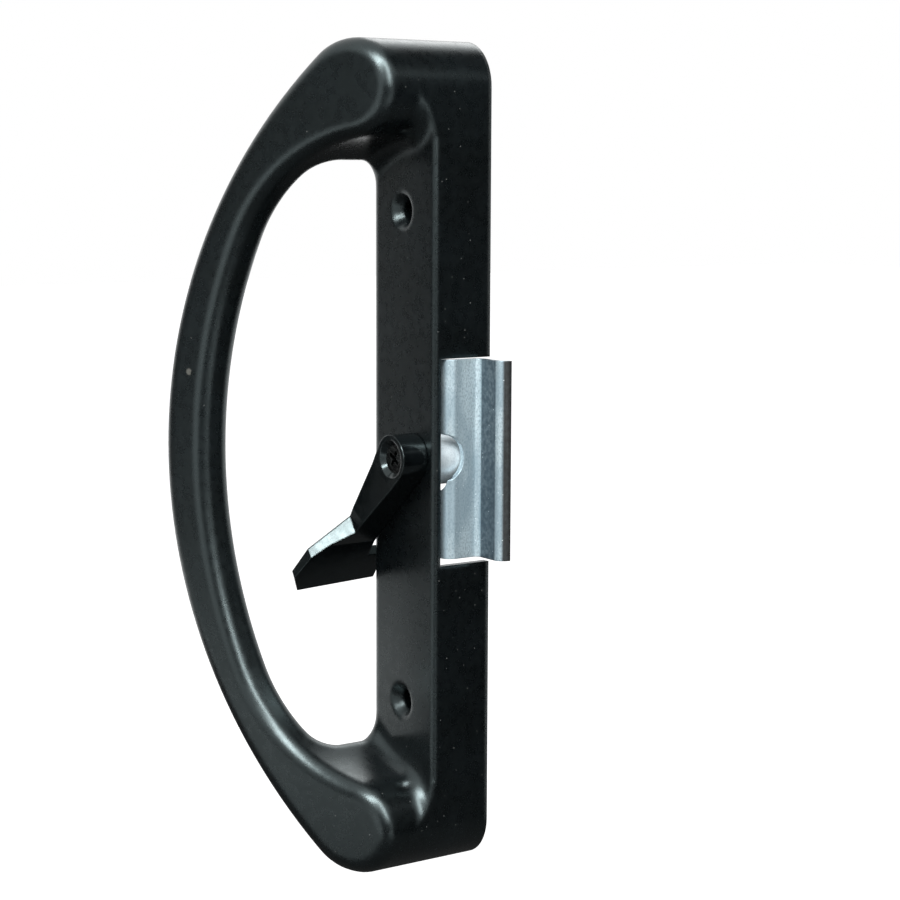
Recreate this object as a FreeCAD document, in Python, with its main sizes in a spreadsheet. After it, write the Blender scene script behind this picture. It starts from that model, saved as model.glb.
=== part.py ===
"""Room-side pull of a sliding patio door.

A die-cast D-shaped handle with a turning thumb lever on its bar. The lever's spindle
carries an eccentric disc that draws a bent latch plate into the bar.
Millimetres. The origin is midway between the two fixing screws on the door face,
-Y points into the room, +X to the jamb and +Z up.
"""

import math
import os

import FreeCAD
import Part
import Sketcher

SIZES = {
    # bar on the door face
    "bar_height": 209.6,
    "bar_width": 28.4,
    "bar_depth": 17.1,
    "screw_line_inset": 14.4,
    "jamb_corner_radius": 11.5,
    "shoulder_radius": 14.5,
    "top_flat": 0.6,
    "wall": 2.2,
    "front_arris_radius": 1.0,
    # loop that the hand goes through
    "pull_reach": 51.7,
    "grip_width": 13.6,
    "grip_depth": 10.4,
    "inner_arc_radius": 145.0,
    "gap_height": 163.0,
    "gap_corner_radius": 42.0,
    "nose_corner_radius": 12.5,
    "nose_depth": 31.0,
    "face_angle": 24.0,
    "face_edge_radius": 4.2,
    "back_edge_radius": 3.0,
    "root_radius": 8.0,
    "foot_radius": 5.0,
    # hollow back
    "cavity_height": 176.0,
    "cavity_corner_radius": 4.0,
    "core_width": 13.0,
    "core_height": 13.0,
    "core_depth": 24.0,
    "core_offset_x": 3.0,
    "core_offset_z": 89.0,
    # fixing screws
    "screw_spacing": 125.4,
    "screw_hole_diameter": 5.0,
    "countersink_diameter": 9.4,
    "boss_diameter": 10.0,
    # spindle and eccentric disc
    "spindle_offset": 5.9,
    "spindle_rise": 1.2,
    "spindle_diameter": 8.0,
    "spindle_clearance": 0.08,
    "cam_gap": 0.1,
    "cam_diameter": 12.6,
    "cam_eccentricity": 1.6,
    "cam_phase": 30.0,
    "cam_length": 7.6,
    "square_side": 5.6,
    "square_clearance": 0.05,
    "tapped_diameter": 4.1,
    "tapped_depth": 8.5,
    # thumb lever
    "lever_rest_angle": 31.3,
    "lever_gap": 0.15,
    "lever_thickness": 7.15,
    "hub_diameter": 12.2,
    "arm_lean": 1.1,
    "arm_side_run": 30.0,
    "arm_side_width": 2.9,
    "toe_end_width": 1.2,
    "toe_skew": 24.0,
    "toe_root": 23.5,
    "toe_shelf": 32.5,
    "toe_crest": 39.1,
    "toe_tip": 43.7,
    "toe_heel": 42.0,
    "toe_heel_start": 33.7,
    "toe_shelf_rise": 10.7,
    "toe_crest_rise": 13.2,
    "toe_tip_rise": 10.7,
    "toe_heel_drop": 4.9,
    "web_thickness": 3.8,
    "lever_seat_diameter": 9.6,
    "lever_hole_diameter": 4.4,
    # lever screw
    "lever_screw_head": 7.2,
    "lever_screw_diameter": 4.0,
    "lever_screw_length": 10.0,
    "recess_length": 4.4,
    "recess_width": 1.1,
    "recess_depth": 1.3,
    # latch plate
    "sheet": 1.6,
    "bend_radius": 2.0,
    "latch_height": 50.2,
    "latch_rise": 1.1,
    "latch_tail": 19.4,
    "latch_face_out": 1.0,
    "latch_step": 3.4,
    "latch_lip_reach": 11.4,
    "lip_clearance": 1.1,
    "notch_diameter": 12.0,
    "notch_inset": 0.4,
    "notch_rise": 1.7,
    "cam_play": 0.3,
    # window for the latch in the jamb side
    "window_height": 52.2,
    "window_rise": 0.35,
    # posts that guide the latch
    "post_x": 1.0,
    "post_spacing": 34.0,
    "post_diameter": 5.0,
    "shoulder_diameter": 9.0,
    "shoulder_rise": 1.15,
    "slide_gap": 0.15,
    "slot_clearance": 0.4,
    "clip_diameter": 10.0,
    "clip_thickness": 0.6,
    "clip_clearance": 0.03,
    "post_end": 0.9,
    # margin of every cutter beyond the metal it cuts
    "overrun": 5.0,
}

doc = FreeCAD.newDocument("patio_pull")
sheet = doc.addObject("Spreadsheet::Sheet", "Dims")
for row, (alias, value) in enumerate(SIZES.items(), 1):
    sheet.set("A%d" % row, alias)
    sheet.set("B%d" % row, str(value))
    sheet.setAlias("B%d" % row, alias)
doc.recompute()


def size(alias):
    """Return one driving dimension from the sheet."""
    return float(sheet.get(alias))


def line(start, end):
    """Return a straight piece of an outline."""
    return ("line", start, end)


def arc(centre, start, end, ccw):
    """Return a round piece of an outline."""
    return ("arc", centre, start, end, ccw)


def closed(points):
    """Return the straight pieces of a closed polygon."""
    return [line(a, b) for a, b in zip(points, points[1:] + points[:1])]


def mirrored(items):
    """Return the outline pieces mirrored in the second coordinate, in reverse order."""
    result = []
    for item in reversed(items):
        flipped = [(point[0], -point[1]) for point in item[1:4] if isinstance(point, tuple)]
        if item[0] == "line":
            result.append(line(flipped[1], flipped[0]))
        else:
            result.append(arc(flipped[0], flipped[2], flipped[1], item[4]))
    return result


def draw(sketch, items):
    """Add one closed outline to a sketch and return the ids of its pieces."""
    ends = []
    for item in items:
        if item[0] == "line":
            start, end = (FreeCAD.Vector(p[0], p[1], 0) for p in item[1:3])
            gid = sketch.addGeometry(Part.LineSegment(start, end))
            ends.append((gid, 1, 2))
        else:
            _, centre, start, end, ccw = item
            first, last = (start, end) if ccw else (end, start)
            angle_1 = math.atan2(first[1] - centre[1], first[0] - centre[0])
            angle_2 = math.atan2(last[1] - centre[1], last[0] - centre[0])
            if angle_2 <= angle_1:
                angle_2 += 2.0 * math.pi
            radius = math.hypot(first[0] - centre[0], first[1] - centre[1])
            circle = Part.Circle(FreeCAD.Vector(centre[0], centre[1], 0), FreeCAD.Vector(0, 0, 1), radius)
            gid = sketch.addGeometry(Part.ArcOfCircle(circle, angle_1, angle_2))
            ends.append((gid, 1, 2) if ccw else (gid, 2, 1))
    for one, two in zip(ends, ends[1:] + ends[:1]):
        sketch.addConstraint(Sketcher.Constraint("Coincident", one[0], one[2], two[0], two[1]))
    return [end[0] for end in ends]


def bind_radius(sketch, gid, value, expression):
    """Tie the radius of an arc or circle in a sketch to the sheet."""
    index = sketch.addConstraint(Sketcher.Constraint("Radius", gid, value))
    sketch.setExpression("Constraints[%d]" % index, expression)


def draw_circle(sketch, centre, diameter_name, growth="0"):
    """Add a circle whose size comes from the sheet, and hold its centre in place."""
    radius = size(diameter_name) / 2.0
    point = FreeCAD.Vector(centre[0], centre[1], 0)
    gid = sketch.addGeometry(Part.Circle(point, FreeCAD.Vector(0, 0, 1), radius))
    bind_radius(sketch, gid, radius, "Dims.%s / 2 + %s" % (diameter_name, growth))
    sketch.addConstraint(Sketcher.Constraint("DistanceX", gid, 3, centre[0]))
    sketch.addConstraint(Sketcher.Constraint("DistanceY", gid, 3, centre[1]))
    return gid


def new_body(name):
    """Add an empty body under its node name."""
    body = doc.addObject("PartDesign::Body", name)
    body.Label = name
    return body


def new_sketch(body, name, role, offset="0"):
    """Add a sketch on one origin plane of a body, raised along the plane's normal."""
    plane = next(item for item in body.Origin.OriginFeatures if item.Role == role)
    sketch = body.newObject("Sketcher::SketchObject", name)
    sketch.AttachmentSupport = [(plane, "")]
    sketch.MapMode = "FlatFace"
    sketch.setExpression("AttachmentOffset.Base.z", offset)
    return sketch


def extrude(body, kind, sketch, length, backward=False, symmetric=False):
    """Add a Pad or Pocket of a sketch with its length tied to the sheet."""
    feature = body.newObject("PartDesign::" + kind, sketch.Name + "_" + kind.lower())
    feature.Profile = sketch
    feature.Reversed = backward
    if symmetric:
        feature.SideType = "Symmetric"
    feature.setExpression("Length", length)
    sketch.Visibility = False
    doc.recompute()
    return feature


def round_edges(body, name, edges, radius):
    """Round the given edges of a body's last shape."""
    base = body.Tip
    names = ["Edge%d" % (index + 1) for index, edge in enumerate(base.Shape.Edges)
             if any(edge.isSame(other) for other in edges)]
    feature = body.newObject("PartDesign::Fillet", name)
    feature.Base = (base, names)
    feature.setExpression("Radius", radius)
    doc.recompute()
    return feature


def face_along(shape, normal):
    """Return the largest flat face whose outward normal is the given direction."""
    found = [face for face in shape.Faces
             if isinstance(face.Surface, Part.Plane) and face.normalAt(0, 0).dot(normal) > 0.9999]
    return max(found, key=lambda face: face.Area)


def along(start, end, distance):
    """Return the point at a distance from one point towards another."""
    length = math.hypot(end[0] - start[0], end[1] - start[1])
    return (start[0] + (end[0] - start[0]) * distance / length,
            start[1] + (end[1] - start[1]) * distance / length)


# Handle casting
half_height = size("bar_height") / 2.0
jamb_x = size("screw_line_inset")
hand_x = jamb_x - size("bar_width")
outer_x = -size("pull_reach")
slope = math.tan(math.radians(size("face_angle")))
overrun = size("overrun")
blank_depth = size("nose_depth") + jamb_x - outer_x


def face_y(x):
    """Return the depth of the sloping front face at one width."""
    return -size("nose_depth") - (jamb_x - x) * slope


corner_c = (jamb_x - size("jamb_corner_radius"), half_height - size("jamb_corner_radius"))
shoulder_r = size("shoulder_radius")
shoulder_x = corner_c[0] - size("top_flat")
shoulder_c = (shoulder_x, half_height - shoulder_r)
outer_r = (((shoulder_x - outer_x) ** 2 + shoulder_c[1] ** 2 - shoulder_r ** 2)
           / (2.0 * (shoulder_x - outer_x - shoulder_r)))
outer_c = (outer_x + outer_r, 0.0)
shoulder_end = along(outer_c, shoulder_c, outer_r)

inner_r = size("inner_arc_radius")
inner_c = (outer_x + size("grip_width") + inner_r, 0.0)
gap_r = size("gap_corner_radius")
gap_z = size("gap_height") / 2.0 - gap_r
gap_c = (inner_c[0] - math.sqrt((inner_r - gap_r) ** 2 - gap_z ** 2), gap_z)
gap_start = along(inner_c, gap_c, inner_r)
nose_r = size("nose_corner_radius")
nose_x = jamb_x - nose_r
nose_c = (nose_x, gap_z + math.sqrt((gap_r + nose_r) ** 2 - (gap_c[0] - nose_x) ** 2))
nose_start = along(gap_c, nose_c, gap_r)


def on_gap_corner(x):
    """Return the upper point of the gap's corner arc at one width."""
    return (x, gap_z + math.sqrt(gap_r ** 2 - (gap_c[0] - x) ** 2))


upper_rim = [
    arc(corner_c, (jamb_x, corner_c[1]), (corner_c[0], half_height), True),
    line((corner_c[0], half_height), (shoulder_x, half_height)),
    arc(shoulder_c, (shoulder_x, half_height), shoulder_end, True),
]
rim = ([line((jamb_x, -corner_c[1]), (jamb_x, corner_c[1]))] + upper_rim
       + [arc(outer_c, shoulder_end, (shoulder_end[0], -shoulder_end[1]), True)] + mirrored(upper_rim))
gap_end = on_gap_corner(hand_x)
gap_rim = [
    line((hand_x, -gap_end[1]), gap_end),
    arc(gap_c, gap_end, gap_start, True),
    arc(inner_c, gap_start, (gap_start[0], -gap_start[1]), True),
    arc((gap_c[0], -gap_z), (gap_start[0], -gap_start[1]), (hand_x, -gap_end[1]), True),
]

handle = new_body("handle_body")
sketch = new_sketch(handle, "blank", "XZ_Plane")
ids = draw(sketch, rim)
bind_radius(sketch, ids[1], size("jamb_corner_radius"), "Dims.jamb_corner_radius")
bind_radius(sketch, ids[3], shoulder_r, "Dims.shoulder_radius")
ids = draw(sketch, gap_rim)
bind_radius(sketch, ids[1], gap_r, "Dims.gap_corner_radius")
bind_radius(sketch, ids[2], inner_r, "Dims.inner_arc_radius")
extrude(handle, "Pad", sketch, "Dims.nose_depth + Dims.screw_line_inset + Dims.pull_reach")

sketch = new_sketch(handle, "front_slope", "XY_Plane")
left_x = outer_x - overrun
right_x = jamb_x + overrun
draw(sketch, closed([(right_x, face_y(right_x)), (left_x, face_y(left_x)),
                     (left_x, -blank_depth - overrun), (right_x, -blank_depth - overrun)]))
extrude(handle, "Pocket", sketch, "Dims.bar_height + Dims.overrun", symmetric=True)

root_r = size("root_radius")
corner = (hand_x, face_y(hand_x) + size("grip_depth"))
root_c = (hand_x - root_r,
          corner[1] - root_r * slope + root_r / math.cos(math.radians(size("face_angle"))))
root_top = (hand_x, root_c[1])
reach = root_c[1] - corner[1]
far_left = (left_x, face_y(left_x) + size("grip_depth"))
root_bottom = along(corner, far_left, reach)
sketch = new_sketch(handle, "back_relief", "XY_Plane")
ids = draw(sketch, [
    line((hand_x, overrun), root_top),
    arc(root_c, root_top, root_bottom, False),
    line(root_bottom, far_left),
    line(far_left, (left_x, overrun)),
    line((left_x, overrun), (hand_x, overrun)),
])
bind_radius(sketch, ids[1], root_r, "Dims.root_radius")
extrude(handle, "Pocket", sketch, "Dims.bar_height + Dims.overrun", symmetric=True)

# Space in front of the bar, with its rounded foot
cutter = new_body("front_relief")
cut_start = on_gap_corner(hand_x - root_r)
cut_top = nose_c[1] + root_r
cut_right = jamb_x + 3.0 * size("foot_radius")
upper_cut = [
    line((cut_right, cut_top), (jamb_x, cut_top)),
    line((jamb_x, cut_top), (jamb_x, nose_c[1])),
    arc(nose_c, (jamb_x, nose_c[1]), nose_start, False),
    arc(gap_c, nose_start, cut_start, True),
]
sketch = new_sketch(cutter, "relief", "XZ_Plane", "Dims.bar_depth")
ids = draw(sketch, [line((cut_right, -cut_top), (cut_right, cut_top))] + upper_cut
           + [line(cut_start, (cut_start[0], -cut_start[1]))] + mirrored(upper_cut))
bind_radius(sketch, ids[3], nose_r, "Dims.nose_corner_radius")
bind_radius(sketch, ids[4], gap_r, "Dims.gap_corner_radius")
extrude(cutter, "Pad", sketch, "Dims.nose_depth + Dims.screw_line_inset + Dims.pull_reach")
foot = face_along(cutter.Tip.Shape, FreeCAD.Vector(0, 1, 0))
foot_edges = [edge for edge in foot.Edges if isinstance(edge.Curve, Part.Circle)]
round_edges(cutter, "relief_foot", foot_edges, "Dims.foot_radius")

relief = handle.newObject("PartDesign::Boolean", "front_relief_cut")
relief.Type = "Cut"
relief.setObjects([cutter])
doc.recompute()

# Rounded edges of the loop
tilt = math.radians(size("face_angle"))
front_normal = FreeCAD.Vector(math.sin(tilt), -math.cos(tilt), 0)
round_edges(handle, "face_rounding", face_along(handle.Tip.Shape, front_normal).Edges, "Dims.face_edge_radius")
back_edges = [edge for edge in face_along(handle.Tip.Shape, front_normal * -1.0).Edges
              if not isinstance(edge.Curve, Part.Line)]
round_edges(handle, "back_rounding", back_edges, "Dims.back_edge_radius")

# Eased front corner of the bar on its jamb side
arris_r = size("front_arris_radius")
arris_c = (jamb_x - arris_r, -size("bar_depth") + arris_r)
arris_half = nose_c[1] - math.sqrt((nose_r + size("foot_radius")) ** 2 - nose_r ** 2)
sketch = new_sketch(handle, "front_arris", "XY_Plane")
ids = draw(sketch, [
    arc(arris_c, (arris_c[0], -size("bar_depth")), (jamb_x, arris_c[1]), True),
    line((jamb_x, arris_c[1]), (jamb_x + arris_r, arris_c[1])),
    line((jamb_x + arris_r, arris_c[1]), (jamb_x + arris_r, -size("bar_depth") - arris_r)),
    line((jamb_x + arris_r, -size("bar_depth") - arris_r), (arris_c[0], -size("bar_depth") - arris_r)),
    line((arris_c[0], -size("bar_depth") - arris_r), (arris_c[0], -size("bar_depth"))),
])
bind_radius(sketch, ids[0], arris_r, "Dims.front_arris_radius")
arris = extrude(handle, "Pocket", sketch, "Dims.bar_height", symmetric=True)
arris.clearExpression("Length")
arris.Length = 2.0 * arris_half
doc.recompute()


def rounded_box(left, right, bottom, top, radius):
    """Return the outline of a rectangle with round corners."""
    return [
        line((left + radius, bottom), (right - radius, bottom)),
        arc((right - radius, bottom + radius), (right - radius, bottom), (right, bottom + radius), True),
        line((right, bottom + radius), (right, top - radius)),
        arc((right - radius, top - radius), (right, top - radius), (right - radius, top), True),
        line((right - radius, top), (left + radius, top)),
        arc((left + radius, top - radius), (left + radius, top), (left, top - radius), True),
        line((left, top - radius), (left, bottom + radius)),
        arc((left + radius, bottom + radius), (left, bottom + radius), (left + radius, bottom), True),
    ]


# Hollow back with its screw bosses
wall = size("wall")
screw_z = size("screw_spacing") / 2.0
cavity_half = size("cavity_height") / 2.0
sketch = new_sketch(handle, "cavity", "XZ_Plane")
ids = draw(sketch, rounded_box(hand_x + wall, jamb_x - wall, -cavity_half, cavity_half,
                               size("cavity_corner_radius")))
bind_radius(sketch, ids[1], size("cavity_corner_radius"), "Dims.cavity_corner_radius")
draw_circle(sketch, (0.0, screw_z), "boss_diameter")
draw_circle(sketch, (0.0, -screw_z), "boss_diameter")
extrude(handle, "Pocket", sketch, "Dims.bar_depth - Dims.wall", backward=True)

sketch = new_sketch(handle, "end_cores", "XZ_Plane")
core_left = size("core_offset_x") - size("core_width") / 2.0
core_right = size("core_offset_x") + size("core_width") / 2.0
core_low = size("core_offset_z") - size("core_height") / 2.0
core_high = size("core_offset_z") + size("core_height") / 2.0
core_r = size("cavity_corner_radius") / 2.0
draw(sketch, rounded_box(core_left, core_right, core_low, core_high, core_r))
draw(sketch, rounded_box(core_left, core_right, -core_high, -core_low, core_r))
extrude(handle, "Pocket", sketch, "Dims.core_depth", backward=True)

inside_y = -(size("bar_depth") - wall)
sketch = new_sketch(handle, "latch_window", "XY_Plane", "Dims.window_rise")
draw(sketch, closed([(jamb_x - 2.0 * wall, inside_y), (right_x, inside_y),
                     (right_x, overrun), (jamb_x - 2.0 * wall, overrun)]))
extrude(handle, "Pocket", sketch, "Dims.window_height", symmetric=True)

# Fixing screw holes
hole_r = size("screw_hole_diameter") / 2.0
seat_r = size("countersink_diameter") / 2.0
front_y = -size("bar_depth")
sketch = new_sketch(handle, "screw_hole", "YZ_Plane")
draw(sketch, closed([(overrun, screw_z), (front_y - overrun, screw_z), (front_y - overrun, screw_z + seat_r),
                     (front_y, screw_z + seat_r), (front_y + seat_r - hole_r, screw_z + hole_r),
                     (overrun, screw_z + hole_r)]))
sketch.addGeometry(Part.LineSegment(FreeCAD.Vector(overrun, screw_z, 0),
                                    FreeCAD.Vector(front_y - overrun, screw_z, 0)), True)
groove = handle.newObject("PartDesign::Groove", "screw_hole_cut")
groove.Profile = sketch
groove.ReferenceAxis = (sketch, ["Axis0"])
groove.Angle = 360.0
sketch.Visibility = False
doc.recompute()
mirror = handle.newObject("PartDesign::Mirrored", "screw_hole_pair")
mirror.Originals = [groove]
mirror.MirrorPlane = (next(item for item in handle.Origin.OriginFeatures if item.Role == "XY_Plane"), [""])
handle.Tip = mirror
doc.recompute()

# Spindle bore and latch guide posts
spindle_x = size("spindle_offset")
spindle_z = size("spindle_rise")
sketch = new_sketch(handle, "spindle_bore", "XZ_Plane")
draw_circle(sketch, (spindle_x, spindle_z), "spindle_diameter", "Dims.spindle_clearance")
extrude(handle, "Pocket", sketch, "Dims.bar_depth + Dims.overrun", backward=True)

post_z = size("post_spacing") / 2.0
posts = [(size("post_x"), post_z), (size("post_x"), -post_z)]
seat_offset = "Dims.bar_depth - Dims.wall / 2"
sketch = new_sketch(handle, "guide_shoulders", "XZ_Plane", seat_offset)
for post in posts:
    draw_circle(sketch, post, "shoulder_diameter")
extrude(handle, "Pad", sketch, "Dims.wall / 2 + Dims.shoulder_rise", backward=True)
sketch = new_sketch(handle, "guide_posts", "XZ_Plane", seat_offset)
for post in posts:
    draw_circle(sketch, post, "post_diameter")
extrude(handle, "Pad", sketch,
        "Dims.wall / 2 + Dims.shoulder_rise + 2 * Dims.slide_gap + Dims.sheet"
        " + Dims.clip_thickness + Dims.post_end", backward=True)

# Push-on clips that keep the latch plate on its posts
clips = new_body("guide_clips")
sketch = new_sketch(clips, "clip_rings", "XZ_Plane",
                    "Dims.bar_depth - Dims.wall - Dims.shoulder_rise - 2 * Dims.slide_gap - Dims.sheet")
for post in posts:
    draw_circle(sketch, post, "clip_diameter")
    draw_circle(sketch, post, "post_diameter", "Dims.clip_clearance")
extrude(clips, "Pad", sketch, "Dims.clip_thickness", backward=True)

# Latch plate
plate_y = inside_y + size("shoulder_rise") + size("slide_gap") + size("sheet") / 2.0
face_x = jamb_x + size("latch_face_out") - size("sheet") / 2.0
step_y = -size("latch_step")
lip_x = face_x + size("latch_lip_reach") - size("sheet")
middle = [(face_x - size("latch_tail"), plate_y), (face_x, plate_y), (face_x, step_y), (lip_x, step_y),
          (lip_x, -size("lip_clearance"))]


def strip(points, thickness, radius):
    """Return the outline of a bent sheet from its middle line."""
    sides = {1.0: [], -1.0: []}
    start = points[0]
    for index in range(1, len(points)):
        before, here = points[index - 1], points[index]
        length = math.hypot(here[0] - before[0], here[1] - before[1])
        way = ((here[0] - before[0]) / length, (here[1] - before[1]) / length)
        across = (-way[1], way[0])
        if index == len(points) - 1:
            bend, stop = None, here
        else:
            after = points[index + 1]
            turn = 1.0 if way[0] * (after[1] - here[1]) - way[1] * (after[0] - here[0]) > 0 else -1.0
            stop = (here[0] - way[0] * radius, here[1] - way[1] * radius)
            bend = (stop[0] + across[0] * turn * radius, stop[1] + across[1] * turn * radius)
        for side, chain in sides.items():
            shift = side * thickness / 2.0
            ends = [(p[0] + across[0] * shift, p[1] + across[1] * shift) for p in (start, stop)]
            chain.append(line(ends[0], ends[1]))
            if bend:
                leave = (here[0] + turn * across[0] * radius - way[0] * turn * shift,
                         here[1] + turn * across[1] * radius - way[1] * turn * shift)
                chain.append(arc(bend, ends[1], leave, turn > 0))
        if bend:
            start = (here[0] + turn * across[0] * radius, here[1] + turn * across[1] * radius)
    back = [line(i[2], i[1]) if i[0] == "line" else arc(i[1], i[3], i[2], not i[4])
            for i in reversed(sides[1.0])]
    return (sides[-1.0] + [line(sides[-1.0][-1][2], back[0][1])] + back
            + [line(back[-1][2], sides[-1.0][0][1])])


latch = new_body("latch_plate")
sketch = new_sketch(latch, "plate_profile", "XY_Plane", "Dims.latch_rise")
draw(sketch, strip(middle, size("sheet"), size("bend_radius")))
extrude(latch, "Pad", sketch, "Dims.latch_height", symmetric=True)

eccentricity = size("cam_eccentricity")
phase = math.radians(size("cam_phase"))
throw = eccentricity * (math.cos(phase) + math.sin(phase))
cam_r = size("cam_diameter") / 2.0
play = size("cam_play")
cut_offset = ("Dims.bar_depth - Dims.wall - Dims.shoulder_rise - Dims.slide_gap"
              " - Dims.sheet - Dims.bend_radius / 2")
cut_length = "Dims.sheet + Dims.bend_radius"
sketch = new_sketch(latch, "cam_slot", "XZ_Plane", cut_offset)
draw(sketch, rounded_box(spindle_x + eccentricity * math.cos(phase) - cam_r - play, jamb_x,
                         spindle_z - eccentricity - cam_r - play,
                         spindle_z - eccentricity * math.sin(phase) + cam_r + play, cam_r / 2.0))
extrude(latch, "Pocket", sketch, cut_length, backward=True)

slot_r = (size("post_diameter") + size("slot_clearance")) / 2.0
sketch = new_sketch(latch, "guide_slots", "XZ_Plane", cut_offset)
for post in posts:
    end_1 = post
    end_2 = (post[0] + throw, post[1])
    draw(sketch, [
        line((end_1[0], end_1[1] - slot_r), (end_2[0], end_2[1] - slot_r)),
        arc(end_2, (end_2[0], end_2[1] - slot_r), (end_2[0], end_2[1] + slot_r), True),
        line((end_2[0], end_2[1] + slot_r), (end_1[0], end_1[1] + slot_r)),
        arc(end_1, (end_1[0], end_1[1] + slot_r), (end_1[0], end_1[1] - slot_r), True),
    ])
extrude(latch, "Pocket", sketch, cut_length, backward=True)

sketch = new_sketch(latch, "cam_notch", "YZ_Plane", "Dims.screw_line_inset - 2 * Dims.wall")
draw_circle(sketch, (inside_y + size("notch_inset"), size("notch_rise")), "notch_diameter")
extrude(latch, "Pocket", sketch, "2 * Dims.wall + Dims.overrun", backward=True)

# Spindle with its eccentric disc
rest = math.radians(size("lever_rest_angle"))
cam_c = (eccentricity * math.cos(rest - phase), eccentricity * math.sin(rest - phase))


def turn_to_rest(body):
    """Set a body that is drawn on the lever's axis into its resting place."""
    body.Placement = FreeCAD.Placement(FreeCAD.Vector(spindle_x, 0, spindle_z),
                                       FreeCAD.Rotation(FreeCAD.Vector(0, 1, 0), size("lever_rest_angle")))
    body.setExpression("Placement.Base.x", "Dims.spindle_offset")
    body.setExpression("Placement.Base.z", "Dims.spindle_rise")
    doc.recompute()


def square(side):
    """Return a square outline about the origin."""
    half = side / 2.0
    return closed([(-half, -half), (half, -half), (half, half), (-half, half)])


spindle = new_body("spindle_cam")
cam_front = "Dims.bar_depth - Dims.wall - Dims.cam_gap"
sketch = new_sketch(spindle, "cam_disc", "XZ_Plane", cam_front + " - Dims.cam_length")
draw_circle(sketch, cam_c, "cam_diameter")
extrude(spindle, "Pad", sketch, "Dims.cam_length")
sketch = new_sketch(spindle, "shank", "XZ_Plane", cam_front)
draw_circle(sketch, (0.0, 0.0), "spindle_diameter")
extrude(spindle, "Pad", sketch, "Dims.bar_depth - (%s)" % cam_front)
sketch = new_sketch(spindle, "square_end", "XZ_Plane", cam_front)
draw(sketch, square(size("square_side")))
square_top = ("Dims.bar_depth + Dims.lever_gap + Dims.lever_thickness - Dims.web_thickness"
              " - Dims.square_clearance")
extrude(spindle, "Pad", sketch, "%s - (%s)" % (square_top, cam_front))
sketch = new_sketch(spindle, "tapped_hole", "XZ_Plane", square_top)
draw_circle(sketch, (0.0, 0.0), "tapped_diameter")
extrude(spindle, "Pocket", sketch, "Dims.tapped_depth")
turn_to_rest(spindle)

# Thumb lever
lever = new_body("thumb_lever")
lever_back = -size("bar_depth") - size("lever_gap")
lever_front = lever_back - size("lever_thickness")
hub_r = size("hub_diameter") / 2.0
lever_lip = lever_front - size("arm_lean")
side_knee = (-hub_r + size("arm_side_width"), -size("arm_side_run"))
toe_end = -size("toe_tip") - overrun
side_end = (-hub_r + size("toe_end_width"), toe_end)
lean = math.atan2(side_knee[1], side_knee[0]) + math.acos(hub_r / math.hypot(side_knee[0], side_knee[1]))
touch = (hub_r * math.cos(lean), hub_r * math.sin(lean))
root_line = -size("toe_root")
share = (root_line + hub_r - touch[1]) / (side_knee[1] - touch[1])
side_root = (touch[0] + share * (side_knee[0] - touch[0]), root_line + hub_r)

sketch = new_sketch(lever, "toe_plan", "XZ_Plane", "Dims.bar_depth + Dims.lever_gap - Dims.toe_heel_drop")
draw(sketch, closed([(-hub_r, root_line + hub_r), (-hub_r, toe_end), side_end, side_knee, side_root]))
extrude(lever, "Pad", sketch,
        "Dims.toe_heel_drop + Dims.lever_thickness + Dims.toe_crest_rise + Dims.overrun")
sketch = new_sketch(lever, "toe_side", "YZ_Plane")
skew = FreeCAD.Rotation(FreeCAD.Vector(1, 0, 0), size("toe_skew"))
sketch.AttachmentOffset = FreeCAD.Placement(FreeCAD.Vector(0, 0, 0), skew)
draw(sketch, closed([
    (overrun, 2.0 * overrun),
    (overrun, toe_end - 2.0 * overrun),
    (lever_front - 2.0 * size("toe_crest_rise"), toe_end - 2.0 * overrun),
    (lever_front - 2.0 * size("toe_crest_rise"), 2.0 * overrun),
]))
draw(sketch, closed([
    (lever_back, overrun),
    (lever_back, -size("toe_heel_start")),
    (lever_back + size("toe_heel_drop"), -size("toe_heel_start")),
    (lever_back + size("toe_heel_drop"), -size("toe_heel")),
    (lever_front - size("toe_tip_rise"), -size("toe_tip")),
    (lever_front - size("toe_crest_rise"), -size("toe_crest")),
    (lever_front - size("toe_shelf_rise"), -size("toe_shelf")),
    (lever_lip, root_line),
    (lever_lip, overrun),
]))
extrude(lever, "Pocket", sketch, "2 * Dims.toe_tip + Dims.overrun", symmetric=True)
sketch = new_sketch(lever, "arm", "XZ_Plane", "Dims.bar_depth + Dims.lever_gap")
ids = draw(sketch, [
    arc((0.0, 0.0), touch, (-hub_r, 0.0), True),
    line((-hub_r, 0.0), (-hub_r, root_line + hub_r)),
    line((-hub_r, root_line + hub_r), side_root),
    line(side_root, touch),
])
bind_radius(sketch, ids[0], hub_r, "Dims.hub_diameter / 2")
extrude(lever, "Pad", sketch, "Dims.lever_thickness + Dims.arm_lean")
sketch = new_sketch(lever, "arm_front", "YZ_Plane")
draw(sketch, closed([(lever_front, overrun + hub_r), (lever_front, -hub_r), (lever_lip, root_line + hub_r / 2.0),
                     (lever_lip - overrun, root_line + hub_r / 2.0), (lever_lip - overrun, overrun + hub_r)]))
extrude(lever, "Pocket", sketch, "2 * Dims.hub_diameter", symmetric=True)
sketch = new_sketch(lever, "square_socket", "XZ_Plane", "Dims.bar_depth + Dims.lever_gap")
draw(sketch, square(size("square_side") + 2.0 * size("square_clearance")))
extrude(lever, "Pocket", sketch, "Dims.lever_thickness - Dims.web_thickness", backward=True)
seat_big = size("lever_seat_diameter") / 2.0
seat_small = size("lever_hole_diameter") / 2.0
sketch = new_sketch(lever, "screw_seat", "YZ_Plane")
draw(sketch, closed([(lever_back, 0.0), (lever_front - overrun, 0.0), (lever_front - overrun, seat_big),
                     (lever_front, seat_big), (lever_front + seat_big - seat_small, seat_small),
                     (lever_back, seat_small)]))
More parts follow.
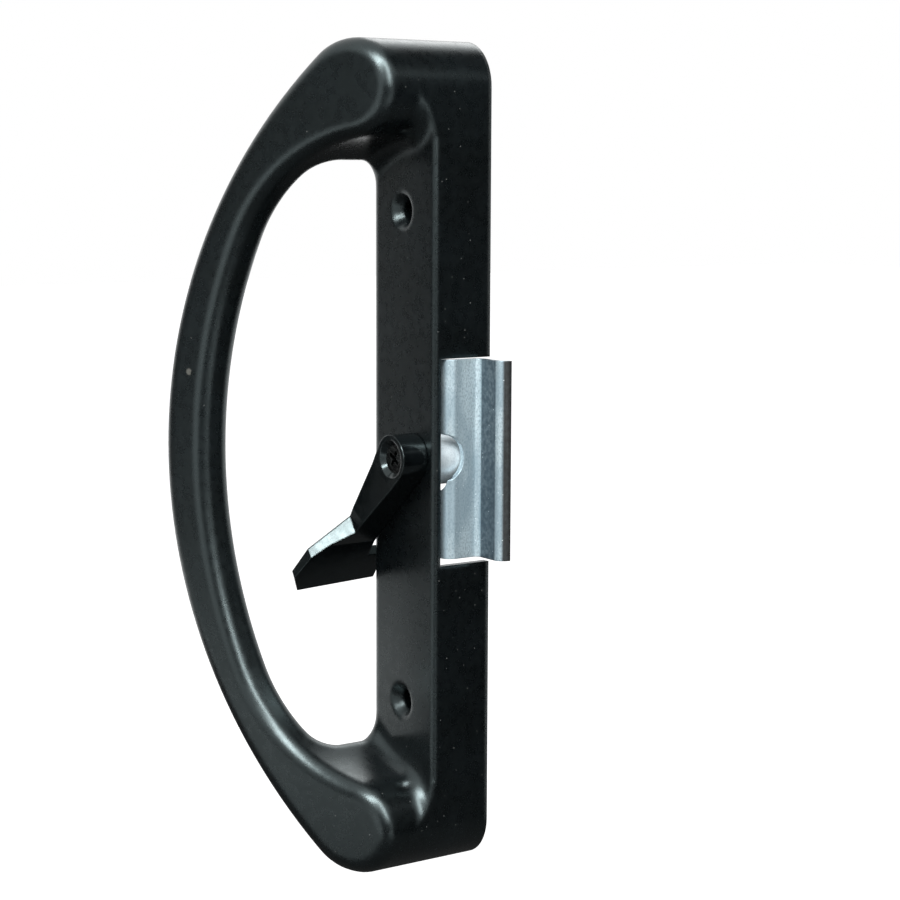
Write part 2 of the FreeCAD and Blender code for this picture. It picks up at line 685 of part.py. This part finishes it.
sketch.addGeometry(Part.LineSegment(FreeCAD.Vector(lever_back, 0, 0),
                                    FreeCAD.Vector(lever_front - overrun, 0, 0)), True)
seat = lever.newObject("PartDesign::Groove", "screw_seat_cut")
seat.Profile = sketch
seat.ReferenceAxis = (sketch, ["Axis0"])
seat.Angle = 360.0
sketch.Visibility = False
doc.recompute()
turn_to_rest(lever)

# Screw that holds the lever on its spindle
screw = new_body("lever_screw")
head_r = size("lever_screw_head") / 2.0
shank_r = size("lever_screw_diameter") / 2.0
head_y = lever_front + seat_big - head_r - size("square_clearance")
sketch = new_sketch(screw, "screw_profile", "YZ_Plane")
draw(sketch, closed([(head_y, 0.0), (head_y, head_r), (head_y + head_r - shank_r, shank_r),
                     (head_y + size("lever_screw_length"), shank_r),
                     (head_y + size("lever_screw_length"), 0.0)]))
sketch.addGeometry(Part.LineSegment(FreeCAD.Vector(head_y, 0, 0),
                                    FreeCAD.Vector(head_y + size("lever_screw_length"), 0, 0)), True)
turned = screw.newObject("PartDesign::Revolution", "screw_turned")
turned.Profile = sketch
turned.ReferenceAxis = (sketch, ["Axis0"])
turned.Angle = 360.0
sketch.Visibility = False
doc.recompute()
sketch = new_sketch(screw, "cross_recess", "XZ_Plane")
recess_l = size("recess_length") / 2.0
recess_w = size("recess_width") / 2.0
draw(sketch, closed([(recess_w, recess_w), (recess_w, recess_l), (-recess_w, recess_l), (-recess_w, recess_w),
                     (-recess_l, recess_w), (-recess_l, -recess_w), (-recess_w, -recess_w),
                     (-recess_w, -recess_l), (recess_w, -recess_l), (recess_w, -recess_w),
                     (recess_l, -recess_w), (recess_l, recess_w)]))
sketch.AttachmentOffset = FreeCAD.Placement(FreeCAD.Vector(0, 0, -head_y), FreeCAD.Rotation())
sketch.clearExpression("AttachmentOffset.Base.z")
extrude(screw, "Pocket", sketch, "Dims.recess_depth")
turn_to_rest(screw)

doc.recompute()
faults = [item.Label for item in doc.Objects
          if {"Invalid", "Error"} & set(item.State)
          or (item.isDerivedFrom("PartDesign::Feature") and (item.Shape.isNull() or not item.Shape.isValid()))]
if faults:
    raise RuntimeError("faulty objects: " + ", ".join(faults))
os.makedirs("parts", exist_ok=True)
for node in (handle, clips, latch, spindle, lever, screw):
    node.Shape.exportStep("parts/%s.step" % node.Label)
    print(node.Label, len(node.Shape.Solids), round(node.Shape.Volume, 1), node.Shape.BoundBox)
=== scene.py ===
"""Looks of a sliding patio door pull: a black cast D-handle, its thumb lever and its zinc latch plate."""

import logging
from dataclasses import dataclass
from enum import Enum
from math import radians
from typing import Any

import bpy
from mathutils import Matrix, Quaternion, Vector

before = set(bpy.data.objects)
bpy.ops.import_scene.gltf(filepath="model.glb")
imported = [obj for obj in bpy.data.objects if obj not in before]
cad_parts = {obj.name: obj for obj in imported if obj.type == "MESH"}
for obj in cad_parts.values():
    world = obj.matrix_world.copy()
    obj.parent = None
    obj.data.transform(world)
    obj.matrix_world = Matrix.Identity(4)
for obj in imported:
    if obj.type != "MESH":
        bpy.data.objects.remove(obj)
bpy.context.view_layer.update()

log = logging.getLogger("patio_pull")

Colour = tuple[float, float, float]
Point = tuple[float, float, float]
Span = tuple[float, float]

WHITE: Colour = (1.0, 1.0, 1.0)
RISE: Span = (0.0, 1.0)
FALL: Span = (1.0, 0.0)
NOISE_ROUGHNESS = 0.55
EDGE_SAMPLES = 6


class Body(Enum):
    """The rigid bodies of the pull."""

    HANDLE = "handle"
    LEVER = "lever"
    LATCH = "latch"


@dataclass(frozen=True)
class Grain:
    """Fractal noise on a surface.

    Attributes:
        scale: waves per metre.
        detail: octaves.
        span: range of the noise over which its effect rises.
        stretch: how much finer the noise is along each axis.
    """

    scale: float
    detail: float
    span: Span
    stretch: Point = (1.0, 1.0, 1.0)


@dataclass(frozen=True)
class Dots:
    """Scattered round dots.

    Attributes:
        scale: cells per metre.
        size: radius of a dot as a share of its cell.
        keep: share of the cells that hold a dot.
        core: share of the radius that is fully covered.
        margin: step between cells that hold a dot and cells that don't.
    """

    scale: float
    size: float
    keep: float
    core: float = 0.6
    margin: float = 0.01


@dataclass(frozen=True)
class Relief:
    """A fine relief on a surface.

    Attributes:
        scale: waves per metre.
        detail: octaves.
        strength: share of the relief that shows.
        depth: height of the relief in metres.
    """

    scale: float
    detail: float
    strength: float
    depth: float


class Shader:
    """A material's node tree with short calls to add and join nodes."""

    def __init__(self, name: str) -> None:
        """Start an empty surface material.

        Args:
            name: the material's name.
        """
        self.material = bpy.data.materials.new(name)
        self.material.use_nodes = True
        self.tree = self.material.node_tree
        self.tree.nodes.clear()
        self.surface = self.add("ShaderNodeBsdfPrincipled")
        output = self.add("ShaderNodeOutputMaterial")
        self.join(self.surface, "BSDF", output, "Surface")
        self.place = self.add("ShaderNodeTexCoord")

    def add(self, kind: str, **sockets: Any) -> bpy.types.Node:
        """Add a node.

        Args:
            kind: Blender's name of the node type.
            sockets: values of its inputs, with spaces in their names written as underscores.

        Returns:
            The new node.
        """
        node = self.tree.nodes.new(kind)
        for name, value in sockets.items():
            node.inputs[name.replace("_", " ")].default_value = value
        return node

    def join(self, source: bpy.types.Node, output: str, target: bpy.types.Node, entry: str | int) -> None:
        """Join an output of one node to an input of another."""
        self.tree.links.new(source.outputs[output], target.inputs[entry])

    def set_surface(self, **sockets: Any) -> None:
        """Set constant values of the surface, with spaces in their names written as underscores."""
        for name, value in sockets.items():
            self.surface.inputs[name.replace("_", " ")].default_value = value

    def noise(self, scale: float, detail: float, stretch: Point = (1.0, 1.0, 1.0)) -> bpy.types.Node:
        """Add fractal noise in the part's own space.

        Args:
            scale: waves per metre.
            detail: octaves.
            stretch: how much finer the noise is along each axis.

        Returns:
            The noise node.
        """
        mapping = self.add("ShaderNodeMapping", Scale=stretch)
        self.join(self.place, "Object", mapping, "Vector")
        node = self.add("ShaderNodeTexNoise", Scale=scale, Detail=detail, Roughness=NOISE_ROUGHNESS)
        self.join(mapping, "Vector", node, "Vector")
        return node

    def ramp(self, source: bpy.types.Node, output: str, span: Span, result: Span = RISE) -> bpy.types.Node:
        """Map a range of one value smoothly to another range.

        Args:
            source: node with the value.
            output: name of the value's output.
            span: range of the value.
            result: range that it is mapped to.

        Returns:
            The mapping node.
        """
        node = self.add("ShaderNodeMapRange", From_Min=span[0], From_Max=span[1],
                        To_Min=result[0], To_Max=result[1])
        node.interpolation_type = "SMOOTHSTEP"
        self.join(source, output, node, "Value")
        return node

    def grain(self, grain: Grain, result: Span = RISE) -> bpy.types.Node:
        """Add a grain that is mapped to a range of values and return its node."""
        return self.ramp(self.noise(grain.scale, grain.detail, grain.stretch), "Fac", grain.span, result)

    def mix(self, share: bpy.types.Node, top: Colour) -> bpy.types.Node:
        """Add a mix of two colours whose lower colour is still open.

        Args:
            share: node whose first output says how much the upper colour covers.
            top: the upper colour.

        Returns:
            The mixing node.
        """
        node = self.add("ShaderNodeMix")
        node.data_type = "RGBA"
        node.inputs["B"].default_value = (*top, 1.0)
        self.join(share, share.outputs[0].name, node, "Factor")
        return node

    def blend(self, share: bpy.types.Node, low: Colour, high: Colour) -> bpy.types.Node:
        """Mix two colours.

        Args:
            share: node whose first output is the share of the second colour.
            low: the first colour.
            high: the second colour.

        Returns:
            The mixing node.
        """
        node = self.mix(share, high)
        node.inputs["A"].default_value = (*low, 1.0)
        return node

    def over(self, under: bpy.types.Node, colour: Colour, share: bpy.types.Node) -> bpy.types.Node:
        """Lay a colour over the colour of a node.

        Args:
            under: node with the colour so far.
            colour: the colour on top.
            share: node whose first output says how much of it covers.

        Returns:
            The mixing node.
        """
        node = self.mix(share, colour)
        self.join(under, "Result", node, "A")
        return node

    def times(self, first: bpy.types.Node, second: bpy.types.Node) -> bpy.types.Node:
        """Multiply the first outputs of two nodes.

        Args:
            first: one node.
            second: the other node.

        Returns:
            The node with the product.
        """
        node = self.add("ShaderNodeMath")
        node.operation = "MULTIPLY"
        for entry, source in enumerate((first, second)):
            self.join(source, source.outputs[0].name, node, entry)
        return node

    def specks(self, dots: Dots) -> bpy.types.Node:
        """Add scattered round dots.

        Args:
            dots: their size and number.

        Returns:
            A node that is 1 in a dot and 0 elsewhere.
        """
        cells = self.add("ShaderNodeTexVoronoi", Scale=dots.scale, Randomness=1.0)
        self.join(self.place, "Object", cells, "Vector")
        dot = self.ramp(cells, "Distance", (dots.size * dots.core, dots.size), FALL)
        split = self.add("ShaderNodeSeparateColor")
        self.join(cells, "Color", split, "Color")
        chosen = self.ramp(split, "Red", (dots.keep, dots.keep + dots.margin), FALL)
        return self.times(dot, chosen)

    def soften(self, radius: float, relief: Relief) -> None:
        """Round the sharp edges in the shading and lay a fine relief on the surface.

        Args:
            radius: rounding of the edges in metres.
            relief: the relief.
        """
        edge = self.add("ShaderNodeBevel", Radius=radius)
        edge.samples = EDGE_SAMPLES
        bump = self.add("ShaderNodeBump", Strength=relief.strength, Distance=relief.depth)
        self.join(self.noise(relief.scale, relief.detail), "Fac", bump, "Height")
        self.join(edge, "Normal", bump, "Normal")
        self.join(bump, "Normal", self.surface, "Normal")

    def coat(self, colour: bpy.types.Node, rub: Grain, gloss: Span, radius: float, relief: Relief) -> None:
        """Give the surface its colour, its gloss and its relief.

        Args:
            colour: node with the colour.
            rub: grain in which the gloss varies.
            gloss: lowest and highest roughness.
            radius: rounding of the edges in metres.
            relief: fine relief of the surface.
        """
        self.join(colour, "Result", self.surface, "Base Color")
        self.join(self.grain(rub, gloss), "Result", self.surface, "Roughness")
        self.soften(radius, relief)


@dataclass(frozen=True)
class KnockMark:
    """A small knock in the paint, painted as a pale chip or as painted shade in its pit; its core is the
    fully covered share of its radius.
    """

    place: Point
    radius: float
    colour: Colour
    core: float = 0.5

    def lay(self, shader: Shader, under: bpy.types.Node) -> bpy.types.Node:
        """Lay the mark over a colour.

        Args:
            shader: the material in the making.
            under: node with the colour so far.

        Returns:
            The node with the colour of the whole surface.
        """
        distance = shader.add("ShaderNodeVectorMath")
        distance.operation = "DISTANCE"
        distance.inputs[1].default_value = self.place
        shader.join(shader.place, "Object", distance, 0)
        cover = shader.ramp(distance, "Value", (self.radius * self.core, self.radius), FALL)
        return shader.over(under, self.colour, cover)


@dataclass(frozen=True)
class BlackPaint:
    """Satin black paint on a casting, with an eggshell surface and a little dust."""

    name: str = "black_paint"
    deep: Colour = (0.0006, 0.0010, 0.0012)
    mottled: Colour = (0.0020, 0.0030, 0.0036)
    dust: Colour = (0.14, 0.145, 0.14)
    gloss: Span = (0.26, 0.31)
    refraction: float = 1.62
    gloss_tint: Colour = (0.80, 0.98, 1.0)
    edge_radius: float = 0.0018
    chips_and_pit_shade: tuple[KnockMark, ...] = ()
    mottle: Grain = Grain(60.0, 4.0, (0.35, 0.7))
    dust_dots: Dots = Dots(420.0, 0.07, 0.12)
    rub: Grain = Grain(420.0, 3.0, (0.3, 0.7))
    relief: Relief = Relief(1300.0, 2.0, 0.10, 0.00006)

    def make(self) -> bpy.types.Material:
        """Build the paint.

        Returns:
            Its material.
        """
        shader = Shader(self.name)
        paint = shader.blend(shader.grain(self.mottle), self.deep, self.mottled)
        colour = shader.over(paint, self.dust, shader.specks(self.dust_dots))
        for mark in self.chips_and_pit_shade:
            colour = mark.lay(shader, colour)
        shader.set_surface(IOR=self.refraction, Specular_Tint=(*self.gloss_tint, 1.0))
        shader.coat(colour, self.rub, self.gloss, self.edge_radius, self.relief)
        return shader.material


@dataclass(frozen=True)
class DarkBand:
    """A darker band on the plating, between two places along the part's X axis; on the latch's shelf it is
    painted shade.
    """

    colour: Colour
    start: float
    end: float
    fade: float
    cover: float = 0.96
    least_cover: float = 0.80
    breakup: Grain = Grain(900.0, 3.0, (0.35, 0.65))

    def lay(self, shader: Shader, under: bpy.types.Node) -> bpy.types.Node:
        """Lay the band over a colour.

        Args:
            shader: the material in the making.
            under: node with the colour so far.

        Returns:
            The node with the colour of the whole surface.
        """
        split = shader.add("ShaderNodeSeparateXYZ")
        shader.join(shader.place, "Object", split, "Vector")
        rise = shader.ramp(split, "X", (self.start, self.start + self.fade), (0.0, self.cover))
        fall = shader.ramp(split, "X", (self.end - self.fade, self.end), FALL)
        mottled = shader.grain(self.breakup, (self.least_cover, 1.0))
        return shader.over(under, self.colour, shader.times(shader.times(rise, fall), mottled))


@dataclass(frozen=True)
class ZincPlate:
    """Bright zinc on rolled sheet, spotted and faintly streaked."""

    name: str = "zinc_plate"
    bright: Colour = (0.49, 0.60, 0.64)
    dim: Colour = (0.32, 0.42, 0.47)
    spot: Colour = (0.24, 0.32, 0.37)
    fleck: Colour = (0.76, 0.85, 0.88)
    dark_bands: tuple[DarkBand, ...] = ()
    metallic: float = 0.55
    gloss: Span = (0.34, 0.50)
    edge_radius: float = 0.0003
    cloud: Grain = Grain(110.0, 3.0, (0.40, 0.62), (2.5, 1.0, 0.5))
    spangle: Grain = Grain(2600.0, 4.0, (0.42, 0.68), (1.0, 1.0, 0.6))
    spangle_cover: float = 0.8
    fleck_dots: Dots = Dots(1100.0, 0.16, 0.14)
    rub: Grain = Grain(300.0, 4.0, (0.3, 0.7), (1.0, 1.0, 0.12))
    relief: Relief = Relief(1500.0, 3.0, 0.12, 0.00003)

    def make(self) -> bpy.types.Material:
        """Build the plating.

        Returns:
            Its material.
        """
        shader = Shader(self.name)
        sheet = shader.blend(shader.grain(self.cloud), self.bright, self.dim)
        colour = shader.over(sheet, self.spot, shader.grain(self.spangle, (0.0, self.spangle_cover)))
        for band in self.dark_bands:
            colour = band.lay(shader, colour)
        colour = shader.over(colour, self.fleck, shader.specks(self.fleck_dots))
        shader.set_surface(Metallic=self.metallic)
        shader.coat(colour, self.rub, self.gloss, self.edge_radius, self.relief)
        return shader.material


@dataclass(frozen=True)
class TurnedSteel:
    """Plain or blackened steel of small turned and stamped pieces."""

    name: str
    colour: Colour
    shade: Colour
    metallic: float = 1.0
    gloss: Span = (0.28, 0.45)
    edge_radius: float = 0.0002
    cloud: Grain = Grain(500.0, 4.0, (0.35, 0.68))
    rub: Grain = Grain(900.0, 3.0, (0.3, 0.7))
    relief: Relief = Relief(1800.0, 2.0, 0.10, 0.00002)

    def make(self) -> bpy.types.Material:
        """Build the steel.

        Returns:
            Its material.
        """
        shader = Shader(self.name)
        tint = shader.blend(shader.grain(self.cloud), self.colour, self.shade)
        shader.set_surface(Metallic=self.metallic)
        shader.coat(tint, self.rub, self.gloss, self.edge_radius, self.relief)
        return shader.material


def dress(node: str, material: bpy.types.Material) -> None:
    """Give a solid of the part its finish.

    Args:
        node: name of the solid.
        material: the finish.
    """
    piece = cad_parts[node]
    piece.data.materials.clear()
    piece.data.materials.append(material)
    log.info("dressed %s in %s", node, material.name)


@dataclass
class HandleCasting:
    """The D-shaped casting and the clips on its guide posts."""

    body: Body = Body.HANDLE
    paint: BlackPaint = BlackPaint(chips_and_pit_shade=(
        KnockMark(place=(-0.0411, -0.0558, 0.0210), radius=0.0011, colour=(0.10, 0.10, 0.09)),
        # painted shade: the black pit of the knock
        KnockMark(place=(-0.0402, -0.0554, 0.0207), radius=0.0006, colour=(0.0004, 0.0004, 0.0004)),
    ))
    clip_steel: TurnedSteel = TurnedSteel("spring_steel", (0.36, 0.37, 0.38), (0.22, 0.23, 0.24))

    def dress(self) -> None:
        """Finish the casting and its clips."""
        dress("handle_body", self.paint.make())
        dress("guide_clips", self.clip_steel.make())


@dataclass
class LeverAssembly:
    """The thumb lever with its screw and its spindle."""

    body: Body = Body.LEVER
    paint: BlackPaint = BlackPaint("lever_paint", gloss=(0.15, 0.22), edge_radius=0.0005)
    screw_steel: TurnedSteel = TurnedSteel(
        "blackened_screw", (0.10, 0.11, 0.11), (0.03, 0.03, 0.03), gloss=(0.18, 0.32))
    spindle_zinc: ZincPlate = ZincPlate(
        "spindle_zinc", (0.64, 0.71, 0.74), (0.57, 0.64, 0.67), (0.48, 0.55, 0.59),
        metallic=0.6, gloss=(0.42, 0.56))

    def dress(self) -> None:
        """Finish the lever, its screw and its spindle."""
        dress("thumb_lever", self.paint.make())
        dress("lever_screw", self.screw_steel.make())
        dress("spindle_cam", self.spindle_zinc.make())


@dataclass
class LatchAssembly:
    """The bent plate that slides out of the bar's jamb side, with painted shade on its shelf and a darker
    lip.
    """

    body: Body = Body.LATCH
    zinc: ZincPlate = ZincPlate(dark_bands=(
        # painted shade: the latch shelf from x = 16.4 to 23.0 mm is darkened by position
        DarkBand(colour=(0.052, 0.080, 0.102), start=0.0164, end=0.0230, fade=0.0006),
        # the lip from x = 24.3 mm outward is a darker brownish black
        DarkBand(colour=(0.020, 0.018, 0.016), start=0.0243, end=0.0300, fade=0.0005, least_cover=0.97),
    ))

    def dress(self) -> None:
        """Finish the plate."""
        dress("latch_plate", self.zinc.make())


def add_object(name: str, data: bpy.types.ID) -> bpy.types.Object:
    """Add an object to the scene.

    Args:
        name: the object's name.
        data: its mesh, lamp or camera.

    Returns:
        The new object.
    """
    item = bpy.data.objects.new(name, data)
    bpy.context.scene.collection.objects.link(item)
    return item


def add_sheet(name: str, corners: list[Point]) -> bpy.types.Object:
    """Add a flat sheet to the scene.

    Args:
        name: name of the object and of its mesh.
        corners: its four corners in order.

    Returns:
        The new object.
    """
    mesh = bpy.data.meshes.new(name)
    mesh.from_pydata(corners, [], [(0, 1, 2, 3)])
    return add_object(name, mesh)


class LampRole(Enum):
    """What each lamp of the studio does."""

    KEY = "key_softbox"
    SIDE = "side_softbox"
    BACK = "back_softbox"


@dataclass(frozen=True)
class Lamp:
    """A soft rectangular lamp that points at the middle of the part and is spun by degrees about its aim."""

    role: LampRole
    place: Point
    size: Span
    watts: float
    spin: float = 0.0

    def build(self) -> None:
        """Hang the lamp."""
        data = bpy.data.lights.new(self.role.value, "AREA")
        data.shape = "RECTANGLE"
        data.size, data.size_y = self.size
        data.energy = self.watts
        lamp = add_object(self.role.value, data)
        lamp.location = self.place
        aim = (-Vector(self.place)).to_track_quat("-Z", "Y")
        lamp.rotation_euler = (aim @ Quaternion((0.0, 0.0, 1.0), radians(self.spin))).to_euler()


class CardRole(Enum):
    """What each card of the studio does."""

    SIDE = "side_card"
    OVER = "overhead_card"
    UNDER = "under_card"
    FRONT = "front_card"
    BEHIND = "camera_card"


@dataclass(frozen=True)
class Card:
    """A matt grey card that the camera doesn't see and that the gloss of the part mirrors."""

    role: CardRole
    place: Point
    half: Span
    shade: float

    def build(self) -> None:
        """Stand the card so that it faces the part."""
        wide, tall = self.half
        corners = [(-wide, 0.0, -tall), (wide, 0.0, -tall), (wide, 0.0, tall), (-wide, 0.0, tall)]
        card = add_sheet(self.role.value, corners)
        card.location = self.place
        card.rotation_euler = Vector(self.place).to_track_quat("Y", "Z").to_euler()
        card.visible_camera = False
        card.visible_shadow = False
        shader = Shader(self.role.value)
        grey = (self.shade, self.shade, self.shade, 1.0)
        shader.set_surface(Base_Color=grey, Roughness=1.0, Specular_IOR_Level=0.0)
        card.data.materials.append(shader.material)


@dataclass
class Studio:
    """Floor, pale surround, cards, lamps and the camera of the photograph's view."""

    eye: Point = (0.44951, -0.31434, 0.07258)
    right: Point = (0.5726, 0.8198, 0.0046)
    up: Point = (-0.1102, 0.0714, 0.9913)
    lens_mm: float = 85.56
    sensor_mm: float = 36.0
    shift: Span = (-0.00752, 0.00512)
    clip: Span = (0.01, 50.0)
    fill: float = 0.20
    floor_height: float = -0.30
    floor_half: float = 6.0
    floor_shade: float = 0.92
    floor_roughness: float = 0.9
    floor_reach: Span = (0.4, 1.8)
    floor_glow: Span = (0.62, 0.92)
    cards: tuple[Card, ...] = (
        Card(CardRole.SIDE, (0.46, 0.34, -0.03), (0.30, 0.34), 0.02),
        Card(CardRole.OVER, (0.30, 0.57, 0.72), (0.42, 0.40), 0.02),
        Card(CardRole.UNDER, (0.0, 0.0001, -0.27), (0.60, 0.60), 0.08),
        Card(CardRole.FRONT, (-0.60, -0.92, 0.10), (0.75, 0.40), 0.20),
        Card(CardRole.BEHIND, (0.75, -0.42, -0.05), (0.45, 0.25), 0.10),
    )
    lamps: tuple[Lamp, ...] = (
        Lamp(LampRole.KEY, (0.427, -0.602, 0.678), (0.20, 0.62), 11.0, -51.0),
        Lamp(LampRole.SIDE, (0.81, -0.234, 0.538), (0.22, 0.80), 9.0, 11.0),
        Lamp(LampRole.BACK, (-0.65, 0.67, 0.76), (0.5, 0.5), 1.8),
    )

    def build(self) -> None:
        """Set up the whole studio."""
        bpy.context.scene.view_settings.view_transform = "Standard"
        self.build_surround()
        self.build_floor()
        for piece in (*self.cards, *self.lamps):
            piece.build()
            log.info("set up %s", piece.role.value)
        self.build_camera()

    @staticmethod
    def seen_share(tree: bpy.types.NodeTree, unseen: float, seen: float) -> bpy.types.Node:
        """Add a strength that differs where the camera, a gloss or a glass looks at a surface.

        Args:
            tree: node tree of the surround or of a stage piece.
            unseen: strength for all other rays.
            seen: strength for rays that show the surface.

        Returns:
            The node with the strength as its result.
        """
        path = tree.nodes.new("ShaderNodeLightPath")
        shown = path.outputs["Is Camera Ray"]
        for ray in ("Is Glossy Ray", "Is Transmission Ray"):
            either = tree.nodes.new("ShaderNodeMath")
            either.operation = "MAXIMUM"
            tree.links.new(shown, either.inputs[0])
            tree.links.new(path.outputs[ray], either.inputs[1])
            shown = either.outputs["Value"]
        strength = tree.nodes.new("ShaderNodeMapRange")
        strength.inputs["To Min"].default_value = unseen
        strength.inputs["To Max"].default_value = seen
        tree.links.new(shown, strength.inputs["Value"])
        return strength

    def build_surround(self) -> None:
        """Make the world white where it is seen and a soft grey fill elsewhere."""
        world = bpy.data.worlds.new("studio")
        bpy.context.scene.world = world
        world.use_nodes = True
        tree = world.node_tree
        tree.nodes.clear()
        strength = self.seen_share(tree, self.fill, 1.0)
        back = tree.nodes.new("ShaderNodeBackground")
        back.inputs["Color"].default_value = (*WHITE, 1.0)
        tree.links.new(strength.outputs["Result"], back.inputs["Strength"])
        output = tree.nodes.new("ShaderNodeOutputWorld")
        tree.links.new(back.outputs["Background"], output.inputs["Surface"])

    def build_floor(self) -> None:
        """Lay the pale floor under the part, which fades to white where it is seen."""
        half, height = self.floor_half, self.floor_height
        floor = add_sheet("floor", [(-half, -half, height), (half, -half, height),
                                    (half, half, height), (-half, half, height)])
        shader = Shader("floor_paper")
        pale = (self.floor_shade, self.floor_shade, self.floor_shade, 1.0)
        shader.set_surface(Base_Color=pale, Roughness=self.floor_roughness, Emission_Color=(*WHITE, 1.0))
        length = shader.add("ShaderNodeVectorMath")
        length.operation = "LENGTH"
        shader.join(shader.place, "Object", length, 0)
        reach = shader.ramp(length, "Value", self.floor_reach, self.floor_glow)
        seen = self.seen_share(shader.tree, 0.0, 1.0)
        shader.join(shader.times(reach, seen), "Value", shader.surface, "Emission Strength")
        floor.data.materials.append(shader.material)

    def build_camera(self) -> None:
        """Set the camera at the photograph's view."""
        data = bpy.data.cameras.new("photo_view")
        data.sensor_width = self.sensor_mm
        data.lens = self.lens_mm
        data.shift_x, data.shift_y = self.shift
        data.clip_start, data.clip_end = self.clip
        camera = add_object("photo_view", data)
        right = Vector(self.right).normalized()
        up = (Vector(self.up) - right * right.dot(Vector(self.up))).normalized()
        turn = Matrix((right, up, right.cross(up))).transposed().to_4x4()
        camera.matrix_world = Matrix.Translation(Vector(self.eye)) @ turn
        bpy.context.scene.camera = camera


def main() -> None:
    """Build the studio and dress every sub-assembly."""
    logging.basicConfig(level=logging.INFO)
    Studio().build()
    for assembly in (HandleCasting(), LeverAssembly(), LatchAssembly()):
        assembly.dress()
        log.info("finished the %s", assembly.body.value)


if __name__ == "__main__":
    main()
